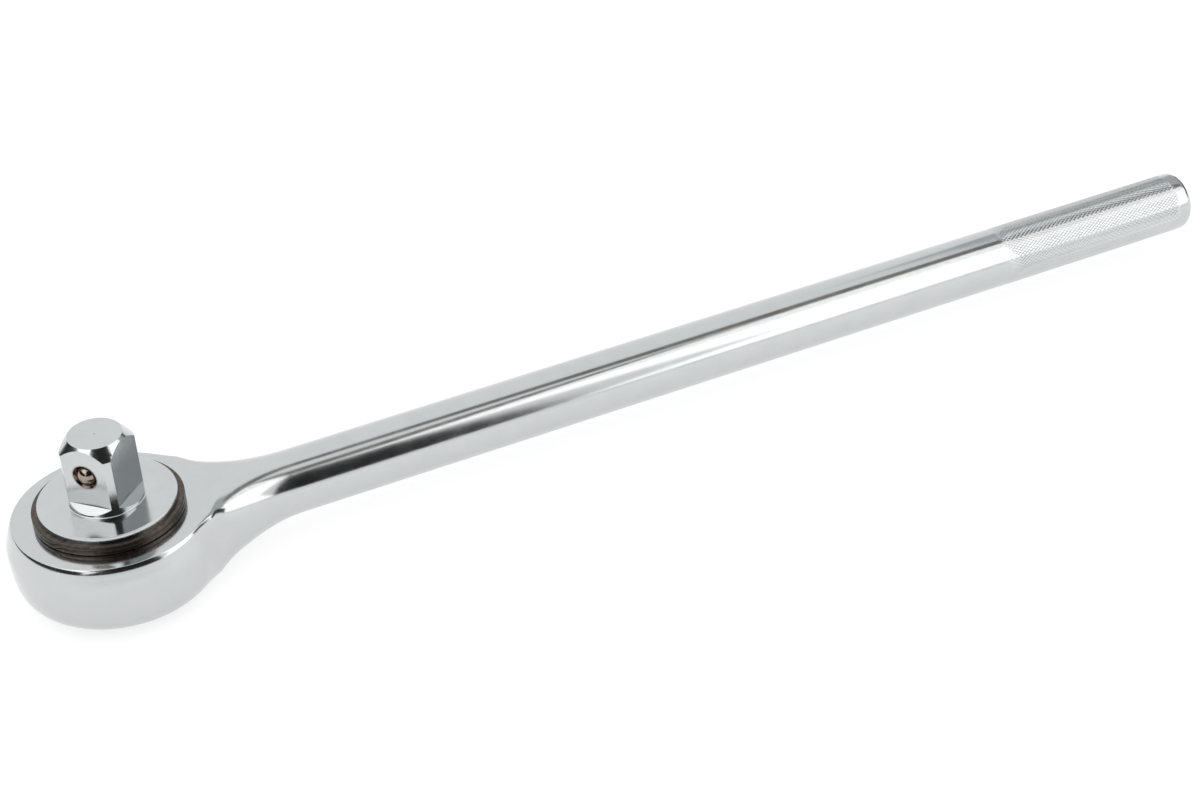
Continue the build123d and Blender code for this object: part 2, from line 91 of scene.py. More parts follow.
# stations of the neck, along the handle from the drive axis
NECK_CUT = 28.8                 # the head's round outline hands over to the neck's sections
NECK_CLOSING = 36.0             # the neck's top and back start to close in on the bar
NECK_EVEN = 50.0                # the sections' points are evenly spaced from here
NECK_FILLET_END = 60.0          # the concave sides become straight
NECK_ROUND = 62.0               # the neck has become a round bar
CRISP_END, SOFT_START = 20, 34  # the head's crisp edges give way to the neck's soft ones

KNURL_START = 342.5
KNURL_DEPTH = 0.075
KNURL_GROOVE = 0.13             # half the width of a groove
KNURL_STARTS = 60
KNURL_ROWS = 41
KNURL_PITCH = 2.02              # along the handle
KNURL_LENGTH = KNURL_ROWS * KNURL_PITCH
KNURL_END = KNURL_START + KNURL_LENGTH
BAND_BEFORE, BAND_AFTER = 0.6, 0.5      # plain bands that join the knurl to the bar

SQUARE_HALF = 9.525
BALL_HEIGHT = 14.0
BALL_TURN = -136.66             # of the square's face that holds the ball, from the handle
BALL_MOUTH = Quaternion((0, 0, 1), radians(BALL_TURN)) @ Vector((SQUARE_HALF, 0, BALL_HEIGHT)) * MM


# ---------------------------------------------------------------- making pieces
def surface(bm, across, along, place):
    """A grid of quads, whose corner (i, j) goes where place(i, j) says."""
    for vert in bmesh.ops.create_grid(bm, x_segments=across, y_segments=along, size=1)["verts"]:
        i = round((vert.co.x + 1) / 2 * across)
        j = round((vert.co.y + 1) / 2 * along)
        vert.co = place(i, j)


def finished(bm, name, body, slot, material, stands_for=(), merge=0.004, even=False, crease=32,
             fine_crease=9, fine_from=1, fine_to=0):
    """Closes a mesh made in millimetres, smooths what isn't an edge, and hangs it on its body. Creases
    are angles in degrees. The fine one holds between two places along the handle, by default nowhere."""
    bmesh.ops.remove_doubles(bm, verts=bm.verts, dist=merge)
    bmesh.ops.recalc_face_normals(bm, faces=bm.faces)
    bmesh.ops.scale(bm, vec=(MM, MM, MM), verts=bm.verts)
    for face in bm.faces:
        face.smooth = True
    for edge in bm.edges:
        limit = fine_crease if fine_from < edge.verts[0].co.x / MM < fine_to else crease
        edge.smooth = edge.is_manifold and edge.calc_face_angle() < radians(limit)
    mesh = bpy.data.meshes.new(name)
    bm.to_mesh(mesh)
    bm.free()
    piece = bpy.data.objects.new(name, mesh)
    bpy.context.scene.collection.objects.link(piece)
    mesh.materials.append(material)
    if even:
        normals = piece.modifiers.new("flat_faces", "WEIGHTED_NORMAL")
        normals.keep_sharp = True
    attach(piece, body)
    if stands_for:
        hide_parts(*stands_for)


def smooth_step(low, high, value):
    """0 below low, 1 above high, and an easy rise between them."""
    share = min(1.0, max(0.0, (value - low) / (high - low)))
    return share * share * (3 - 2 * share)


# ---------------------------------------------------------------- materials
def linear(hex_colour):
    """An sRGB hex colour as linear red, green, blue and alpha."""
    channels = [int(hex_colour[i:i + 2], 16) / 255 for i in (0, 2, 4)]
    return [c / 12.92 if c <= 0.04045 else ((c + 0.055) / 1.055) ** 2.4 for c in channels] + [1]


def add_node(tree, kind, inputs=(), **settings):
    """Adds a shader node. Inputs maps a socket's name to its value or to the output that feeds it."""
    node = tree.nodes.new("ShaderNode" + kind)
    for name, value in settings.items():
        setattr(node, name, value)
    for name, value in dict(inputs).items():
        if isinstance(value, bpy.types.NodeSocket):
            tree.links.new(value, node.inputs[name])
        else:
            node.inputs[name].default_value = value
    return node


def new_material(name):
    """An empty material with a Principled shader, and the object coordinates that its patterns read."""
    material = bpy.data.materials.new(name)
    material.use_nodes = True
    tree = material.node_tree
    tree.nodes.clear()
    shader = add_node(tree, "BsdfPrincipled")
    add_node(tree, "OutputMaterial", {"Surface": shader.outputs["BSDF"]})
    place = add_node(tree, "TexCoord").outputs["Object"]
    return material, tree, shader, place


# nearly all of a noise's values lie between these
SPREAD = {"From Min": 0.3, "From Max": 0.7}


def chrome_plate(name, colour, dull, shine, pit_depth, turned=False):
    """Chrome over nickel on polished steel. It mirrors softly, and the polishing grain under the
    plate breaks up the edges of what it mirrors. A turned face keeps faint rings from the tool, and
    has painted shade round the mouth of the ball's hole."""
    material, tree, shader, place = new_material(name)
    # the grain is drawn coarser than the polishing grit's, so that it shows
    fine = add_node(tree, "TexNoise", {
        "Vector": place, "Scale": 1 / (0.28 * MM), "Detail": 3.0, "Roughness": 0.6,
    }).outputs["Fac"]
    clouds = add_node(tree, "TexNoise", {
        "Vector": place, "Scale": 1 / (9.0 * MM), "Detail": 2.0, "Roughness": 0.6,
    }).outputs["Fac"]
    share = add_node(tree, "MapRange", {"Value": clouds, **SPREAD})
    tint = add_node(tree, "Mix", {
        "Factor": share.outputs["Result"], "A": linear(dull), "B": linear(colour),
    }, data_type="RGBA").outputs["Result"]
    cloudy = add_node(tree, "MapRange", {
        "Value": clouds, **SPREAD, "To Min": shine - 0.02, "To Max": shine + 0.03})
    speckle = add_node(tree, "MapRange", {"Value": fine, **SPREAD, "To Min": -0.03, "To Max": 0.05})
    rough = add_node(tree, "Math", {0: cloudy.outputs["Result"], 1: speckle.outputs["Result"]},
                     operation="ADD").outputs["Value"]
    normal = add_node(tree, "Bump", {"Height": fine, "Distance": pit_depth * MM}).outputs["Normal"]
    if turned:
        # painted shade: the mouth of the ball's hole, round the ball, is painted dark brown
        away = add_node(tree, "VectorMath", {0: place, 1: BALL_MOUTH}, operation="DISTANCE")
        ragged = add_node(tree, "MapRange", {
            "Value": fine, **SPREAD, "To Min": -0.2 * MM, "To Max": 0.2 * MM})
        edge = add_node(tree, "Math", {0: away.outputs["Value"], 1: ragged.outputs["Result"]},
                        operation="ADD")
        painted_mouth_shade = add_node(tree, "MapRange", {
            "Value": edge.outputs["Value"], "From Min": 4.15 * MM, "From Max": 4.8 * MM,
            "To Min": 0.92, "To Max": 0.0})
        # painted shade: dark brown mixed into the plate's colour round the mouth of the ball's hole
        tint = add_node(tree, "Mix", {
            "Factor": painted_mouth_shade.outputs["Result"], "A": tint, "B": linear("5A453A"),
        }, data_type="RGBA").outputs["Result"]
        feed = 0.42             # drawn coarser than the tool's real feed, so that it shows
        rings = add_node(tree, "TexWave", {
            "Vector": place, "Scale": pi / 10 / (feed * MM), "Distortion": 0.6, "Detail": 1.0,
            "Detail Scale": 0.05,
        }, wave_type="RINGS", rings_direction="Z")
        normal = add_node(tree, "Bump", {
            "Height": rings.outputs["Fac"], "Distance": 0.0016 * MM, "Normal": normal,
        }).outputs["Normal"]
    for socket, value in (("Base Color", tint), ("Roughness", rough), ("Normal", normal)):
        tree.links.new(value, shader.inputs[socket])
    shader.inputs["Metallic"].default_value = 1
    return material


def bare_steel(name, colour, stain, roughness, stain_size, scratch=0.0012, coat=0.0):
    """Plain steel, blued, tempered, ground or bright, with its stains and its fine scratches."""
    material, tree, shader, place = new_material(name)
    fine = add_node(tree, "TexNoise", {
        "Vector": place, "Scale": 1 / (0.22 * MM), "Detail": 3.0, "Roughness": 0.6})
    stains = add_node(tree, "TexNoise", {
        "Vector": place, "Scale": 1 / (stain_size * MM), "Detail": 4.0, "Roughness": 0.6,
    }).outputs["Fac"]
    share = add_node(tree, "MapRange", {"Value": stains, **SPREAD})
    shades = add_node(tree, "Mix", {
        "Factor": share.outputs["Result"], "A": linear(colour), "B": linear(stain),
    }, data_type="RGBA")
    rough = add_node(tree, "MapRange", {
        "Value": stains, **SPREAD, "To Min": roughness - 0.05, "To Max": roughness + 0.08})
    scratches = add_node(tree, "Bump", {"Height": fine.outputs["Fac"], "Distance": scratch * MM})
    tree.links.new(shades.outputs["Result"], shader.inputs["Base Color"])
    tree.links.new(rough.outputs["Result"], shader.inputs["Roughness"])
    tree.links.new(scratches.outputs["Normal"], shader.inputs["Normal"])
    shader.inputs["Metallic"].default_value = 1
    shader.inputs["Coat Weight"].default_value = coat
    return material


def moulded_rubber(name, colour, bloom):
    """Black nitrile rubber, moulded: matt, with a faint grey bloom."""
    material, tree, shader, place = new_material(name)
    patches = add_node(tree, "TexNoise", {
        "Vector": place, "Scale": 1 / (1.5 * MM), "Detail": 3.0, "Roughness": 0.6,
    }).outputs["Fac"]
    pores = add_node(tree, "TexNoise", {
        "Vector": place, "Scale": 1 / (0.15 * MM), "Detail": 3.0, "Roughness": 0.6})
    share = add_node(tree, "MapRange", {"Value": patches, **SPREAD})
    shades = add_node(tree, "Mix", {
        "Factor": share.outputs["Result"], "A": linear(colour), "B": linear(bloom),
    }, data_type="RGBA")
    rough = add_node(tree, "MapRange", {"Value": patches, **SPREAD, "To Min": 0.55, "To Max": 0.75})
    skin = add_node(tree, "Bump", {"Height": pores.outputs["Fac"], "Distance": 0.004 * MM})
    tree.links.new(shades.outputs["Result"], shader.inputs["Base Color"])
    tree.links.new(rough.outputs["Result"], shader.inputs["Roughness"])
    tree.links.new(skin.outputs["Normal"], shader.inputs["Normal"])
    shader.inputs["IOR"].default_value = 1.52
    return material


finishes = {
    # a forging, polished and plated: soft reflections with a fine grain
    "polished_chrome": chrome_plate("satin_chrome_on_forging", "C6C8C8", "C2C4C5", 0.13, 0.0035),
    # the spindle, turned, ground and plated: a little duller, with the lathe's rings
    "drive_chrome": chrome_plate("satin_chrome_on_turned_steel", "C6C9C9", "C2C4C5", 0.15, 0.0030,
                                 turned=True),
    # spring wire, tempered in oil to a brown skin
    "oil_tempered_steel": bare_steel("oil_tempered_spring_steel", "5E564E", "423C37", 0.30, 1.8,
                                     coat=0.1),
    # a polished ball under a film of oil, which tints it bronze
    "bearing_steel": bare_steel("oiled_bearing_steel", "A4968A", "8A7A6E", 0.10, 2.2, scratch=0.0003,
                                coat=0.3),
    # pawls, pins and cam: ground grey steel
    "hardened_steel": bare_steel("ground_tool_steel", "9A9B9C", "7C7D80", 0.30, 3.0),
    # bright drawn wire
    "spring_steel": bare_steel("drawn_spring_wire", "B0B1B2", "8C8D8F", 0.25, 1.5),
    # screws, blackened in hot salts and oiled
    "black_oxide": bare_steel("black_oxide_on_steel", "3A3A3C", "262628", 0.38, 1.2, coat=0.15),
    # the ring in the back plate's rim
    "nitrile_rubber": moulded_rubber("moulded_nitrile_rubber", "1A1A1B", "2A2A2B"),
}
slot_of = {part["node"]: part["material_slot"] for part in frame["record"]["subparts"]}
body_of = {node: body for body, nodes in frame["record"]["behaviour"]["bodies"].items()
           for node in nodes}


# ---------------------------------------------------------------- the forged body
def curve_points(start, leave, arrive, end, steps):
    """Points of a Bezier curve in radius and height, without its last one."""
    knots = [Vector((r, 0, z)) for r, z in (start, leave, arrive, end)]
    return [(p.x, p.z) for p in interpolate_bezier(*knots, steps + 1)][:-1]


# radius and height down the head's side: the rim, the bulge, the lower side and the back edge
side_profile = (
    curve_points((31.95, HEAD_TOP), (32.03, HEAD_TOP), (32.1, -5.53), (32.15, -5.6), 3)
    + curve_points((32.15, -5.6), (32.5, -6.02), (32.82, -6.6), (33.0, -7.1), 6)
    + curve_points((33.0, -7.1), (33.8, -9.7), (34.9, -12.0), (34.9, -14.2), 7)
    + curve_points((34.9, -14.2), (34.9, -17.8), (34.75, -21.2), (34.2, -24.5), 5)
    + curve_points((34.2, -24.5), (33.75, -27.4), (32.3, -30.6), (29.4, HEAD_BACK), 7)
    + [(29.4, HEAD_BACK)]
)
SIDE_ROWS = len(side_profile) - 1
CORNER_ROWS = 10
FACE_HALF = 16                  # quads from the neck's middle to its edge, on top and at the back
LOOP = 4 * FACE_HALF + 2 * SIDE_ROWS
TOOTH_CORNERS = 8
BORE_COLUMNS = TOOTH_CORNERS * TOOTH_COUNT
HEAD_COLUMNS = BORE_COLUMNS - 2 * FACE_HALF
TOP_ROWS = 4
BACK_ROWS = 2
CUT_ANGLE = 30.0                # the bore's columns that face the neck lie within this


def neck_fillet(radius):
    """Centre and radius of the concave arc from a head circle to the neck's straight side."""
    arc = (NECK_FILLET_END ** 2 + HANDLE_RADIUS ** 2 - radius ** 2) / (2 * (radius - HANDLE_RADIUS))
    return NECK_FILLET_END, HANDLE_RADIUS + arc, arc


def neck_side(x, radius):
    """Half the width of the neck at x, for the head circle that it runs out of."""
    centre_x, centre_y, arc = neck_fillet(radius)
    if x >= centre_x:
        return HANDLE_RADIUS
    return centre_y - sqrt(arc ** 2 - (x - centre_x) ** 2)


def head_reach(angle, radius):
    """Distance from the drive axis to the head's outline along a ray, fillets included."""
    centre_x, centre_y, arc = neck_fillet(radius)
    turn = min(angle, 2 * pi - angle)
    if turn > atan2(centre_y, centre_x):
        return radius
    along = centre_x * cos(turn) + centre_y * sin(turn)
    return along - sqrt(along ** 2 - (radius + arc) ** 2 + arc ** 2)


def neck_block(x):
    """Half width, top, bottom and edge radius of the neck's section, a block with rounded edges. The
    edges grow until the block is a round bar."""
    share = smooth_step(NECK_CLOSING, NECK_ROUND, x)
    top = HEAD_TOP + (HANDLE_HEIGHT + HANDLE_RADIUS - HEAD_TOP) * share
    bottom = HEAD_BACK + (HANDLE_HEIGHT - HANDLE_RADIUS - HEAD_BACK) * share
    shortfall, at, fade = 6.6, 29, 7.5          # of the edge radius, dying away along the neck
    edge = HANDLE_RADIUS - shortfall * exp((at - x) / fade) if x < NECK_ROUND else HANDLE_RADIUS
    return neck_side(x, SOFT_RADIUS), top, bottom, edge


def block_row(x, row):
    """Where a row of the head's profile lies on the neck's block: half width and height."""
    half_width, top, bottom, edge = neck_block(x)
    if row < CORNER_ROWS:
        turn = pi / 2 * row / CORNER_ROWS
        return half_width - edge * (1 - sin(turn)), top - edge * (1 - cos(turn))
    if row > SIDE_ROWS - CORNER_ROWS:
        turn = pi / 2 * (SIDE_ROWS - row) / CORNER_ROWS
        return half_width - edge * (1 - sin(turn)), bottom + edge * (1 - cos(turn))
    share = (row - CORNER_ROWS) / (SIDE_ROWS - 2 * CORNER_ROWS)
    return half_width, (top - edge) * (1 - share) + (bottom + edge) * share


def on_block(x, turn):
    """Where a ray from the middle of the neck's section leaves it, at a turn from straight up."""
    half_width, top, bottom, edge = neck_block(x)
    half_height, middle = (top - bottom) / 2, (top + bottom) / 2
    across, up = sin(turn), abs(cos(turn))
    corner_y, corner_z = half_width - edge, half_height - edge
    if across * half_height <= corner_y * up:
        reach = half_height / up
    elif up * half_width <= corner_z * across:
        reach = half_width / across
    else:
        along = across * corner_y + up * corner_z
        reach = along + sqrt(along ** 2 - corner_y ** 2 - corner_z ** 2 + edge ** 2)
    return reach * across, middle + reach * cos(turn)


def softness(x):
    """How far the head's crisp edges have given way to the neck's soft ones."""
    return smooth_step(CRISP_END, SOFT_START, x)


def head_point(column, row):
    """A point of the head's side, on one of its profile's rows."""
    def round_head(first_y, radius, inset, z):
        start = atan2(first_y, NECK_CUT)
        angle = start + (2 * pi - 2 * start) * column / HEAD_COLUMNS
        reach = head_reach(angle, radius) - inset
        return Vector((reach * cos(angle), reach * sin(angle), z))

    radius, z = side_profile[row]
    crisp = round_head(neck_side(NECK_CUT, radius), radius, 0, z)
    y, z = block_row(NECK_CUT, row)
    inset = head_reach(atan2(y, NECK_CUT), SOFT_RADIUS) - hypot(NECK_CUT, y)
    return crisp.lerp(round_head(y, SOFT_RADIUS, inset, z), softness(crisp.x))


def bore_point(step, radius, z):
    """A point of a circle round the drive axis that has a corner for each column."""
    angle = radians(CUT_ANGLE) + (2 * pi - 2 * radians(CUT_ANGLE)) * step / HEAD_COLUMNS
    return Vector((radius * cos(angle), radius * sin(angle), z))


def neck_section(x, k):
    """Point k of the neck's section at x: from the middle of its top, round by +Y, to its bottom and
    back. The points start on the head's rows, and end evenly spaced round the bar."""
    side, k = (1, k) if k <= LOOP // 2 else (-1, LOOP - k)
    row = min(max(k - FACE_HALF, 0), SIDE_ROWS)
    outward = min(k, LOOP // 2 - k, FACE_HALF) / FACE_HALF      # 0 at a face's middle, 1 at its edge
    radius, head_z = side_profile[row]
    head_y = neck_side(x, radius) * outward

    y, z = block_row(x, row)
    _, top, bottom, _ = neck_block(x)
    even = smooth_step(NECK_CUT, NECK_EVEN, x)
    turn = atan2(y * outward, z - (top + bottom) / 2) * (1 - even) + 2 * pi * k / LOOP * even
    block_y, block_z = on_block(x, turn)
    soft = softness(x)
    return Vector((x, side * (head_y * (1 - soft) + block_y * soft),
                   head_z * (1 - soft) + block_z * soft))


def outer_skin(bm):
    """The head, the neck and the plain bar, as far as the knurl."""
    def head(column, row):
        if row < TOP_ROWS:
            return bore_point(column, BORE_MOUTH_RADIUS, HEAD_TOP).lerp(
                head_point(column, 0), row / TOP_ROWS)
        if row <= TOP_ROWS + SIDE_ROWS:
            return head_point(column, row - TOP_ROWS)
        return head_point(column, SIDE_ROWS).lerp(
            bore_point(column, BACK_OPENING_RADIUS, HEAD_BACK),
            (row - TOP_ROWS - SIDE_ROWS) / BACK_ROWS)

    def tongue(rows, radius, z, row_of_edge):
        """The flat stretch between the bore and the neck."""
        half_width = head_point(0, row_of_edge).y

        def place(column, row):
            far = Vector((NECK_CUT, half_width * (column - FACE_HALF) / FACE_HALF, z))
            return bore_point(column - 2 * FACE_HALF, radius, z).lerp(far, row / rows)
        return place

    surface(bm, HEAD_COLUMNS, TOP_ROWS + SIDE_ROWS + BACK_ROWS, head)
    surface(bm, 2 * FACE_HALF, TOP_ROWS, tongue(TOP_ROWS, BORE_MOUTH_RADIUS, HEAD_TOP, 0))
    surface(bm, 2 * FACE_HALF, BACK_ROWS,
            tongue(BACK_ROWS, BACK_OPENING_RADIUS, HEAD_BACK, SIDE_ROWS))

    neck_step = 1.1
    neck_rows = round((NECK_ROUND - NECK_CUT) / neck_step)
    stations = [NECK_CUT + (NECK_ROUND - NECK_CUT) * i / neck_rows for i in range(neck_rows + 1)]
    bar_rows = 8
    stations += [NECK_ROUND + (KNURL_START - BAND_BEFORE - NECK_ROUND) * i / bar_rows
                 for i in range(1, bar_rows + 1)]
    surface(bm, LOOP, len(stations) - 1, lambda k, row: neck_section(stations[row], k % LOOP))


def inner_skin(bm):
    """The bore, the shoulder, the ring of ratchet teeth and the opening in the back."""
    pitch = 360 / TOOTH_COUNT
    # radius and angle of the corners of one tooth space and of the tooth after it
    tooth = [(28.0, a) for a in (-2.56, -0.85, 0.85, 2.56)] + [(26.0, a) for a in (6.2, 7.07, 7.93, 8.8)]

    def gear(step, z):
        number, corner = divmod(step - 2, TOOTH_CORNERS)
        radius, angle = tooth[corner]
        angle = radians(TOOTH_OFFSET + angle + number * pitch)
        return Vector((radius * cos(angle), radius * sin(angle), z))

    def circle(radius, z):
        return lambda step: Vector((radius * cos(2 * pi * step / BORE_COLUMNS),
                                    radius * sin(2 * pi * step / BORE_COLUMNS), z))

    rows = [
        circle(BORE_MOUTH_RADIUS, HEAD_TOP), circle(BORE_RADIUS, HEAD_TOP - 0.25),
        circle(BORE_RADIUS, SHOULDER_HEIGHT), circle(RELIEF_RADIUS, SHOULDER_HEIGHT),
        circle(RELIEF_RADIUS, GEAR_TOP), lambda step: gear(step, GEAR_TOP),
        lambda step: gear(step, GEAR_BOTTOM), circle(BACK_OPENING_RADIUS, GEAR_BOTTOM),
        circle(BACK_OPENING_RADIUS, HEAD_BACK),
    ]
    surface(bm, BORE_COLUMNS, len(rows) - 1, lambda step, row: rows[row](step))


def knurled_grip(bm):
    """Rolled diamonds with broad flats. A lattice of squares is turned by 45 degrees, cut to a strip
    and wrapped round the bar, sunk to the grooves' depth, and each diamond is brought up again."""
    count = KNURL_STARTS + KNURL_ROWS
    run_in, run_out = 9, 2      # the roller bites over the first millimetres, and stops short at the end
    lattice = bmesh.new()
    bmesh.ops.create_grid(lattice, x_segments=count, y_segments=count, size=count / sqrt(8))
    bmesh.ops.rotate(lattice, verts=lattice.verts, cent=(0, 0, 0),
                     matrix=Matrix.Rotation(radians(45), 3, "Z"))
    for half, axis in ((KNURL_STARTS / 2, Vector((1, 0, 0))), (KNURL_ROWS / 2, Vector((0, 1, 0)))):
        for way in (1, -1):
            bmesh.ops.bisect_plane(
                lattice, geom=lattice.verts[:] + lattice.edges[:] + lattice.faces[:], dist=1e-4,
                plane_co=axis * half * way, plane_no=axis * way, clear_outer=True)
    for vert in lattice.verts:
        turn = 2 * pi * vert.co.x / KNURL_STARTS
        along = (vert.co.y + KNURL_ROWS / 2) * KNURL_PITCH
        bite = KNURL_DEPTH * smooth_step(0, run_in, along) * smooth_step(0, run_out, KNURL_LENGTH - along)
        radius = HANDLE_RADIUS - bite
        vert.co = Vector((KNURL_START + along, radius * sin(turn),
                          HANDLE_HEIGHT - radius * cos(turn)))
    bmesh.ops.remove_doubles(lattice, verts=lattice.verts, dist=0.01)
    # the cut halves that meet at the top of the bar become whole diamonds again
    seam = [e for e in lattice.edges if not e.is_boundary and all(
        abs(v.co.y) < 1e-3 and v.co.z > HANDLE_HEIGHT for v in e.verts)]
    bmesh.ops.dissolve_edges(lattice, edges=seam)
    bmesh.ops.recalc_face_normals(lattice, faces=lattice.faces)
    grooves = set(lattice.verts)
    bmesh.ops.inset_individual(lattice, faces=lattice.faces, thickness=KNURL_GROOVE, depth=0,
                               use_even_offset=True)
    for vert in set(lattice.verts) - grooves:
        spoke = Vector((0, vert.co.y, vert.co.z - HANDLE_HEIGHT))
        vert.co += spoke.normalized() * (HANDLE_RADIUS - spoke.length)
    copy = bpy.data.meshes.new("knurl")
    lattice.to_mesh(copy)
    lattice.free()
    bm.from_mesh(copy)
    bpy.data.meshes.remove(copy)


def grip_end(bm):
    """The plain band past the knurl, with its rounded end, spun round the handle's axis."""
    start = KNURL_END + BAND_AFTER
    rounding = 3.2
    outline = [(start, HANDLE_RADIUS), (HANDLE_END - rounding, HANDLE_RADIUS)]
    outline += [(HANDLE_END - rounding * (1 - sin(radians(a))),
                 HANDLE_RADIUS - rounding * (1 - cos(radians(a)))) for a in range(10, 91, 10)]
    outline += [(HANDLE_END, radius) for radius in (7.4, 4.0, 1.0, 0.0)]
    verts = [bm.verts.new((x, 0, HANDLE_HEIGHT + radius)) for x, radius in outline]
    edges = [bm.edges.new(ends) for ends in zip(verts, verts[1:])]
    bmesh.ops.spin(bm, geom=verts + edges, cent=(0, 0, HANDLE_HEIGHT), axis=(1, 0, 0), angle=2 * pi,
                   steps=LOOP, use_merge=True)


def forged_body():
    """The head, the neck, the bar and the knurled grip as one closed forging."""
    bm = bmesh.new()
    outer_skin(bm)
    inner_skin(bm)
    grip_end(bm)
    knurled_grip(bm)
    bmesh.ops.remove_doubles(bm, verts=bm.verts, dist=0.004)
    for middle in (KNURL_START - BAND_BEFORE / 2, KNURL_END + BAND_AFTER / 2):
        rims = [e for e in bm.edges if e.is_boundary and all(abs(v.co.x - middle) < 0.4 for v in e.verts)]
        bmesh.ops.bridge_loops(bm, edges=rims)
    finished(bm, "chromed_body", "handle", "polished_chrome", finishes["polished_chrome"],
             ["ratchet_body"], fine_from=KNURL_START + 0.1, fine_to=KNURL_END - 0.1)


# ---------------------------------------------------------------- spiral retaining ring
def spiral_ring():
    """Two turns of flat wire with rounded edges. The wire climbs from one turn to the other at a short
    slanted crossing, and its two ends are cut to points that fill the room over and under it."""
    outer, inner = 24.9, 22.1
    gap = 0.12                  # between the turns
    edge_radius = 0.22
    point = 0.03                # what is left of the wire's height at its ends
    low, high = ring_low.z, ring_high.z
    turn_height = (high - low - gap) / 2
    crossing, crossing_start = radians(9.0), radians(207.5)
    edge_steps = 4
    section = 4 * (edge_steps + 1)
    full = 2 * pi
    legs = [(0, crossing, 8), (crossing, full, 150), (full, full + crossing, 8),
            (full + crossing, 2 * full, 150), (2 * full, 2 * full + crossing, 8)]
    stations = [start + (end - start) * i / steps for start, end, steps in legs for i in range(steps)]
    stations.append(2 * full + crossing)

    def heights(angle):
        """The wire's bottom and top."""
        if angle < crossing:
            return low, low + point + (turn_height - point) * angle / crossing
        if angle > 2 * full:
            return high - turn_height + (turn_height - point) * (angle - 2 * full) / crossing, high
        climb = (turn_height + gap) * min(1, max(0, (angle - full) / crossing))
        return low + climb, low + climb + turn_height

    def place(i, j):
        corner, step = divmod(i % section, edge_steps + 1)
        bottom, top = heights(stations[j])
        edge = min(edge_radius, (top - bottom) * 0.45)
        turn = pi / 2 * (corner + step / edge_steps)
        radius = (outer - edge if corner in (0, 3) else inner + edge) + edge * cos(turn)
        z = (top - edge if corner in (0, 1) else bottom + edge) + edge * sin(turn)
        angle = crossing_start + stations[j]
        return Vector((radius * cos(angle), radius * sin(angle), z))

    bm = bmesh.new()
    surface(bm, section, len(stations) - 1, place)
    bmesh.ops.remove_doubles(bm, verts=bm.verts, dist=0.0005)
    bmesh.ops.holes_fill(bm, edges=[e for e in bm.edges if e.is_boundary])
    finished(bm, "spiral_ring", "spindle", "oil_tempered_steel", finishes["oil_tempered_steel"],
             ["retaining_ring"], merge=0.0005)


# ---------------------------------------------------------------- machined pieces
def machined(node, edge_radius):
    """A CAD node with its triangles merged and every sharp edge eased, as tumbling or plating does."""
    bm = bmesh.new()
    bm.from_mesh(frame["nodes"][node].data)
    bmesh.ops.scale(bm, vec=(1 / MM, 1 / MM, 1 / MM), verts=bm.verts)
    bmesh.ops.remove_doubles(bm, verts=bm.verts, dist=0.0015)
    if edge_radius:
        bmesh.ops.dissolve_limit(bm, angle_limit=radians(0.4), verts=bm.verts, edges=bm.edges)
        sharp = [e for e in bm.edges if e.is_manifold and e.calc_face_angle() > radians(28)]
        bmesh.ops.bevel(bm, geom=sharp, affect="EDGES", offset=edge_radius, offset_type="OFFSET",
                        segments=2, profile=0.5, material=-1, clamp_overlap=True)
    slot = slot_of[node]
    finished(bm, node + "_finished", body_of[node], slot, finishes[slot], [node], even=True,
             merge=0.0005)


# how far the edges are eased, in millimetres; pieces that aren't named keep the edges that they have
EDGES = {"drive_spindle": 0.2, "back_plate": 0.12, "back_plate_screws": 0.1, "reversing_lever": 0.2,
         "lever_screw": 0.1, "tightening_pawl": 0.1, "loosening_pawl": 0.1, "selector_cam": 0.1}

forged_body()
spiral_ring()
for node in slot_of:
    if node not in ("ratchet_body", "retaining_ring"):
        machined(node, EDGES.get(node, 0))


# ---------------------------------------------------------------- studio
def plain_light(name, colour, strength):
    """A surface that only gives light."""
    material = bpy.data.materials.new(name)
    material.use_nodes = True
    tree = material.node_tree
    tree.nodes.clear()
    light = add_node(tree, "Emission", {"Color": linear(colour), "Strength": strength})
    add_node(tree, "OutputMaterial", {"Surface": light.outputs["Emission"]})
    return material


def card(name, corners, material):
    """A flat reflector or flag beside the object, which only shiny surfaces see."""
    bm = bmesh.new()
    bmesh.ops.contextual_create(bm, geom=[bm.verts.new(corner) for corner in corners])
    mesh = bpy.data.meshes.new(name)
    bm.to_mesh(mesh)
    bm.free()
    mesh.materials.append(material)
    made = bpy.data.objects.new(name, mesh)
    bpy.context.scene.collection.objects.link(made)
    made.visible_camera = made.visible_diffuse = made.visible_shadow = False


def floor():
    """White paper, wide enough to have no edge in sight, a hair below the object."""
    bm = bmesh.new()
    bmesh.ops.create_circle(bm, cap_ends=True, segments=96, radius=6)
    bmesh.ops.translate(bm, verts=bm.verts, vec=(0, 0, cad_box[0].z - 0.0002))
    mesh = bpy.data.meshes.new("floor")
    bm.to_mesh(mesh)
    bm.free()
    made = bpy.data.objects.new("floor", mesh)
    bpy.context.scene.collection.objects.link(made)
    material, _, shader, _ = new_material("white_paper")
    shader.inputs["Base Color"].default_value = linear("A6A6A5")
    shader.inputs["Roughness"].default_value = 0.9
    shader.inputs["Emission Color"].default_value = linear("FFFFFF")
    shader.inputs["Emission Strength"].default_value = 0.72
    mesh.materials.append(material)


# the studio's cards, in metres
FLAG_LEFT, FLAG_RIGHT = -0.75, 0.37
FLAG_FRONT = -0.6
FLAG_FOOT = 0.06                # the flags stand clear of the floor
FLAG_TOP = 0.46
CEILING = 1.0
CEILING_LEFT = -0.45
CEILING_BACK = 0.13
CEILING_STEP = -0.16            # right of the bend, the ceiling flag comes no further forward
BEND = 0.75
FAR_RIGHT = 3.0


def upright(x, low_y, high_y, low_z, high_z):
    """Corners of an upright rectangle across the X axis."""
    return [(x, low_y, low_z), (x, high_y, low_z), (x, high_y, high_z), (x, low_y, high_z)]


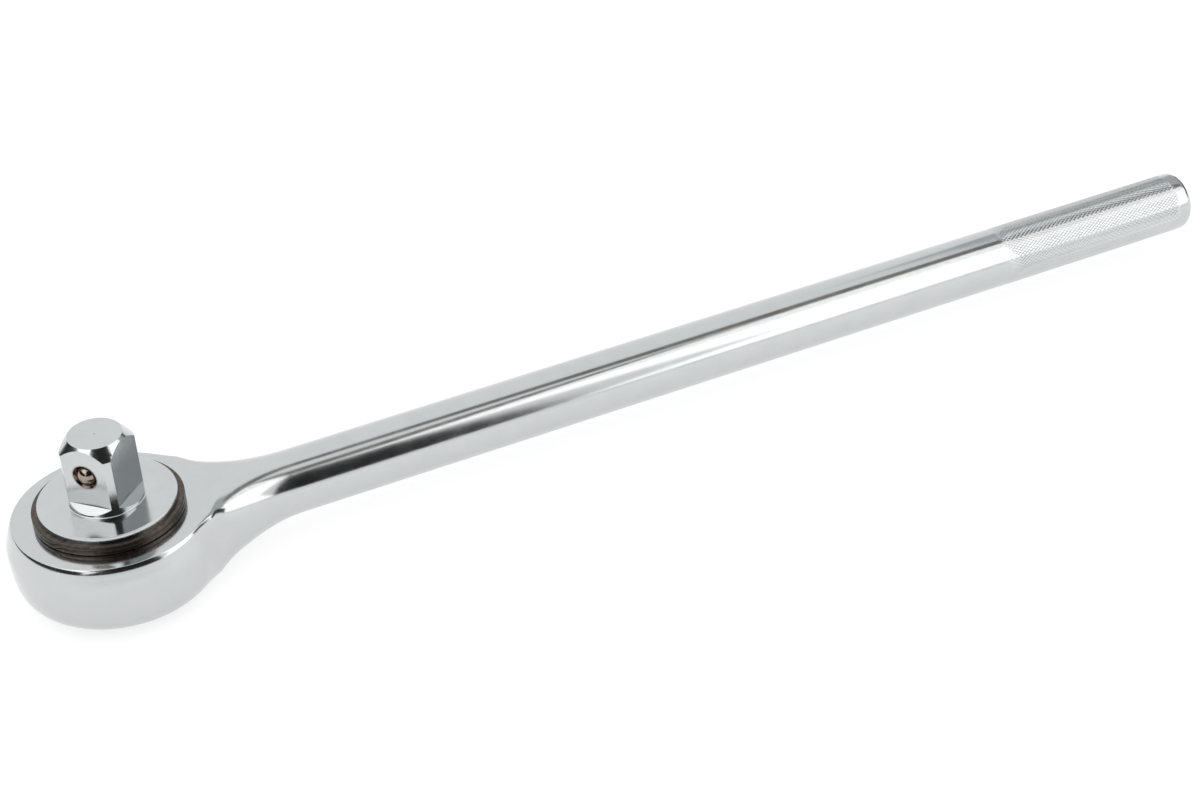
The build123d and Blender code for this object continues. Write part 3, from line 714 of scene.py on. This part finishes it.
def studio():
    """A white tent with black flags, a grey panel, a dim ceiling and softboxes, as chrome needs."""
    world = bpy.data.worlds.new("white_tent")
    world.use_nodes = True
    bpy.context.scene.world = world
    background = world.node_tree.nodes["Background"]
    background.inputs["Color"].default_value = linear("FDFEFF")
    background.inputs["Strength"].default_value = 1.06
    bpy.context.scene.view_settings.view_transform = "Standard"
    floor()
    black = plain_light("black_flag", "FFFFFF", 0.02)
    dusk = plain_light("dark_ceiling", "FFF8EE", 0.24)
    shade = plain_light("grey_panel", "E6EDF0", 0.7)
    bright = plain_light("softbox", "FFFFFF", 1.95)
    # the front flag is wider at its foot
    card("front_flag", [(FLAG_LEFT, FLAG_FRONT, FLAG_FOOT), (FLAG_RIGHT, FLAG_FRONT, FLAG_FOOT),
                        (FLAG_RIGHT, FLAG_FRONT, CEILING), (-0.3, FLAG_FRONT, CEILING),
                        (-0.36, FLAG_FRONT, FLAG_TOP), (FLAG_LEFT, FLAG_FRONT, FLAG_TOP)], black)
    card("left_flag", upright(FLAG_LEFT, FLAG_FRONT, 1.3, FLAG_FOOT, FLAG_TOP), black)
    card("right_flag", upright(1.0, -0.25, 0.5, FLAG_FOOT, 0.28), black)
    card("right_panel", upright(1.3, -0.05, 1.2, 0.34, 1.6), shade)
    card("ceiling_flag", [(CEILING_LEFT, FLAG_FRONT, CEILING), (FLAG_RIGHT, FLAG_FRONT, CEILING),
                          (BEND, CEILING_STEP, CEILING), (FAR_RIGHT, CEILING_STEP, CEILING),
                          (FAR_RIGHT, CEILING_BACK, CEILING), (CEILING_LEFT, CEILING_BACK, CEILING)],
         dusk)
    # the front softbox is narrow at its foot
    behind, foot_right, foot_top = FLAG_FRONT - 0.01, 0.55, 0.3
    card("front_softbox", [(FLAG_RIGHT, behind, FLAG_FOOT), (foot_right, behind, FLAG_FOOT),
                           (foot_right, behind, foot_top), (FAR_RIGHT, behind, foot_top),
                           (FAR_RIGHT, behind, CEILING), (FLAG_RIGHT, behind, CEILING)], bright)
    card("top_softbox", [(FLAG_RIGHT, FLAG_FRONT, CEILING), (FAR_RIGHT, FLAG_FRONT, CEILING),
                         (FAR_RIGHT, CEILING_STEP, CEILING), (BEND, CEILING_STEP, CEILING)], bright)
    card("left_softbox", upright(-1.0, -1.2, 0.3, 0.5, 2.2), bright)


# ---------------------------------------------------------------- camera
CAMERA_PLACE = (-0.11606, -0.63956, 0.45458)    # in metres
CAMERA_TURN = 24.701            # azimuth from +Y towards +X
CAMERA_TILT = 34.223            # looking down
CAMERA_ROLL = -3.323
LENS = 71.63


def camera():
    """The camera, in front of the object and above it, nearer to the head."""
    data = bpy.data.cameras.new("camera")
    data.lens = LENS
    data.sensor_width = 36
    data.clip_start, data.clip_end = 0.01, 100
    made = bpy.data.objects.new("camera", data)
    turn, tilt = radians(CAMERA_TURN), radians(CAMERA_TILT)
    look = Vector((cos(tilt) * sin(turn), cos(tilt) * cos(turn), -sin(tilt)))
    made.location = CAMERA_PLACE
    made.rotation_mode = "QUATERNION"
    made.rotation_quaternion = (look.to_track_quat("-Z", "Y")
                                @ Quaternion((0, 0, 1), radians(CAMERA_ROLL)))
    bpy.context.scene.collection.objects.link(made)
    bpy.context.scene.camera = made


studio()
camera()
